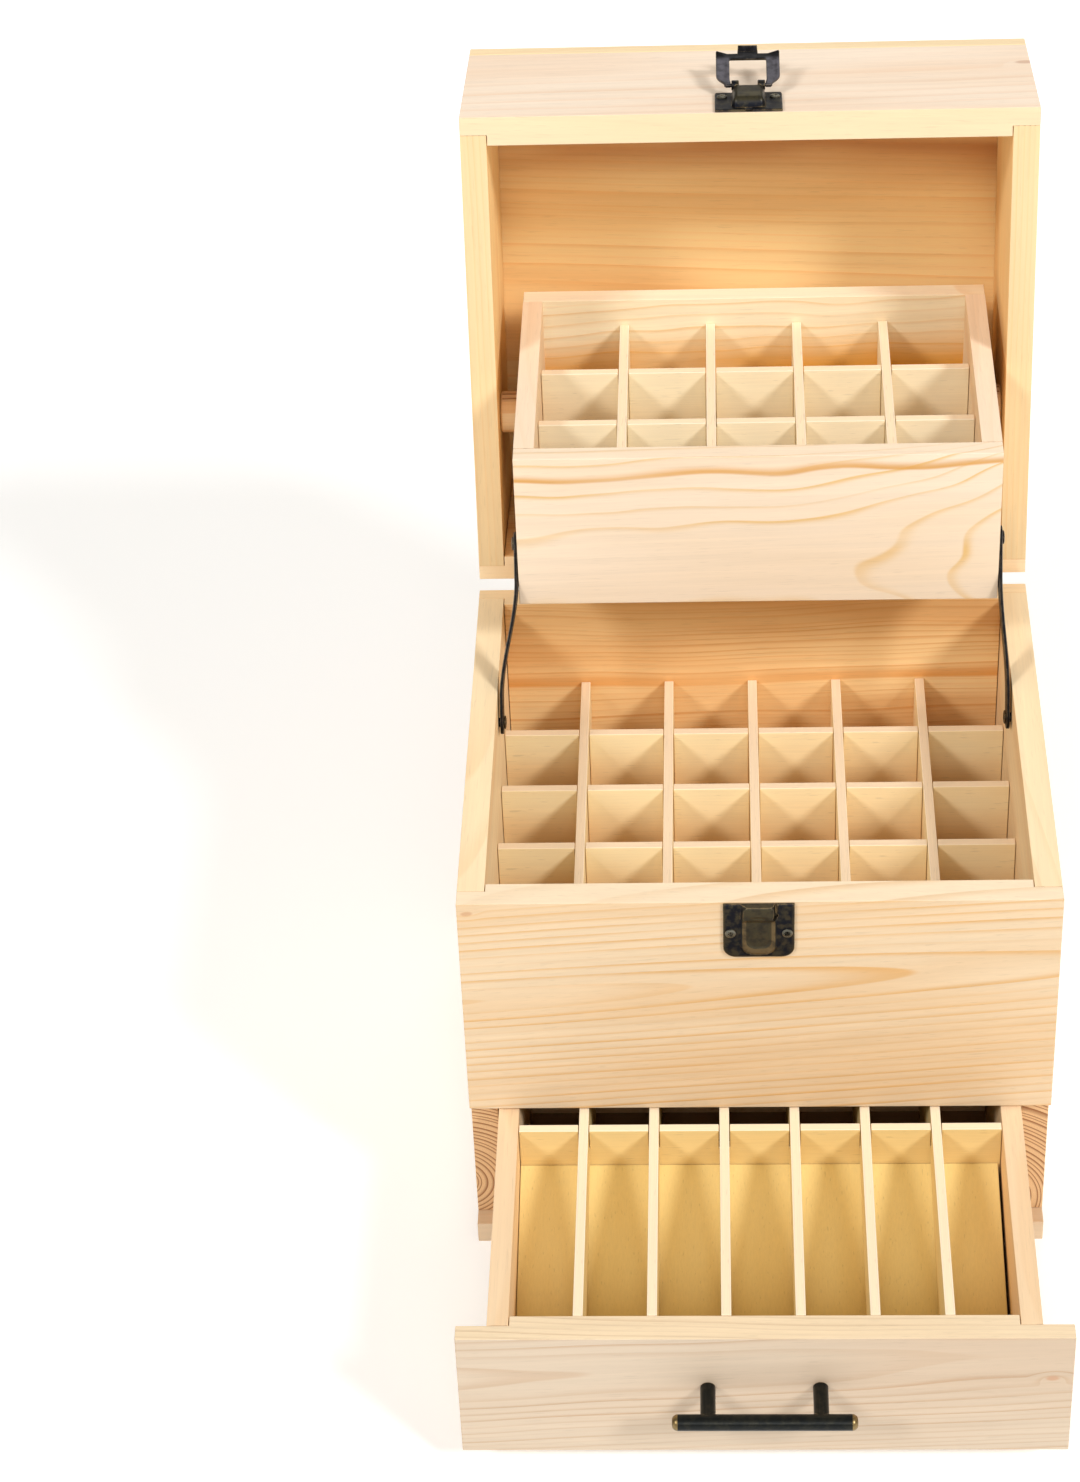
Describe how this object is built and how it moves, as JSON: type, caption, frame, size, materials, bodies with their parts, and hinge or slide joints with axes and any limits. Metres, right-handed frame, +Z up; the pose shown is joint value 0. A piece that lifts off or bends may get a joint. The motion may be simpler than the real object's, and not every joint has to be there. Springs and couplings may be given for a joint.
{
  "type": "essential oil storage box",
  "caption": "Wooden bottle storage box with a divided base, a front drawer, a hinged lid and a divided tray that rises level as the lid opens.",
  "frame": {"origin": "middle of the base's underside", "axes": "+X to the right seen from the front, +Y to the back, +Z up; drawn open, with the lid upright and the drawer out"},
  "size_m": [0.24, 0.4873, 0.4096],
  "materials": {
    "pine": "planed and sanded, unlacquered pine",
    "plywood": "sanded pale plywood",
    "beech": "turned and sanded",
    "bronze": "darkened antique bronze, rubbed bright on the edges"
  },
  "bodies": {
    "base": {"base_front_panel": "pine", "base_back_panel": "pine", "base_side_left": "pine", "base_side_right": "pine", "base_bottom_board": "pine", "compartment_floor": "plywood", "compartment_divider_long_1": "plywood", "compartment_divider_long_2": "plywood", "compartment_divider_long_3": "plywood", "compartment_divider_long_4": "plywood", "compartment_divider_long_5": "plywood", "compartment_divider_cross_1": "plywood", "compartment_divider_cross_2": "plywood", "compartment_divider_cross_3": "plywood", "compartment_divider_cross_4": "plywood", "hinge_base_leaf_left": "bronze", "hinge_base_leaf_right": "bronze", "catch_plate": "bronze", "arm_base_screw_left": "bronze", "arm_base_screw_right": "bronze"},
    "lid": {"lid_front": "pine", "lid_back": "pine", "lid_side_left": "pine", "lid_side_right": "pine", "lid_top_panel": "pine", "hinge_lid_leaf_left": "bronze", "hinge_lid_leaf_right": "bronze", "latch_plate": "bronze", "tray_pivot_left": "beech", "tray_pivot_right": "beech"},
    "latch_frame": {"latch_bail": "bronze"},
    "tray": {"tray_front": "pine", "tray_back": "pine", "tray_side_left": "pine", "tray_side_right": "pine", "tray_floor": "plywood", "tray_divider_long_1": "plywood", "tray_divider_long_2": "plywood", "tray_divider_long_3": "plywood", "tray_divider_long_4": "plywood", "tray_divider_cross_1": "plywood", "tray_divider_cross_2": "plywood", "arm_tray_screw_left": "bronze", "arm_tray_screw_right": "bronze"},
    "left_arm": {"arm_left": "bronze"},
    "right_arm": {"arm_right": "bronze"},
    "drawer": {"drawer_front": "pine", "drawer_back": "pine", "drawer_side_left": "pine", "drawer_side_right": "pine", "drawer_floor": "plywood", "drawer_sloping_floor": "plywood", "drawer_divider_long_1": "plywood", "drawer_divider_long_2": "plywood", "drawer_divider_long_3": "plywood", "drawer_divider_long_4": "plywood", "drawer_divider_long_5": "plywood", "drawer_divider_long_6": "plywood", "drawer_divider_cross": "plywood", "drawer_handle": "bronze"}
  },
  "joints": [
    {"name": "lid_hinge", "type": "hinge", "parent": "base", "child": "lid", "pos_m": [0, 0.10985, 0.1895], "axis": [1, 0, 0], "range_deg": [0, 99]},
    {"name": "tray_pivot", "type": "hinge", "parent": "lid", "child": "tray", "pos_m": [0, 0.14436, 0.25845], "axis": [1, 0, 0], "range_deg": [-99, 0]},
    {"name": "left_arm_pivot", "type": "hinge", "parent": "base", "child": "left_arm", "pos_m": [0, 0.02935, 0.1753], "axis": [1, 0, 0], "range_deg": [0, 99]},
    {"name": "right_arm_pivot", "type": "hinge", "parent": "base", "child": "right_arm", "pos_m": [0, 0.02935, 0.1753], "axis": [1, 0, 0], "range_deg": [0, 99]},
    {"name": "latch_pivot", "type": "hinge", "parent": "lid", "child": "latch_frame", "pos_m": [0, 0.16333, 0.4057], "axis": [1, 0, 0], "range_deg": [0, 168]},
    {"name": "drawer_slide", "type": "slide", "parent": "base", "child": "drawer", "axis": [0, 1, 0], "range_m": [0, 0.1275]}
  ],
  "couplings": [
    {"joint": "tray_pivot", "follows": "lid_hinge", "ratio": -1},
    {"joint": "left_arm_pivot", "follows": "lid_hinge", "ratio": 1},
    {"joint": "right_arm_pivot", "follows": "lid_hinge", "ratio": 1}
  ]
}
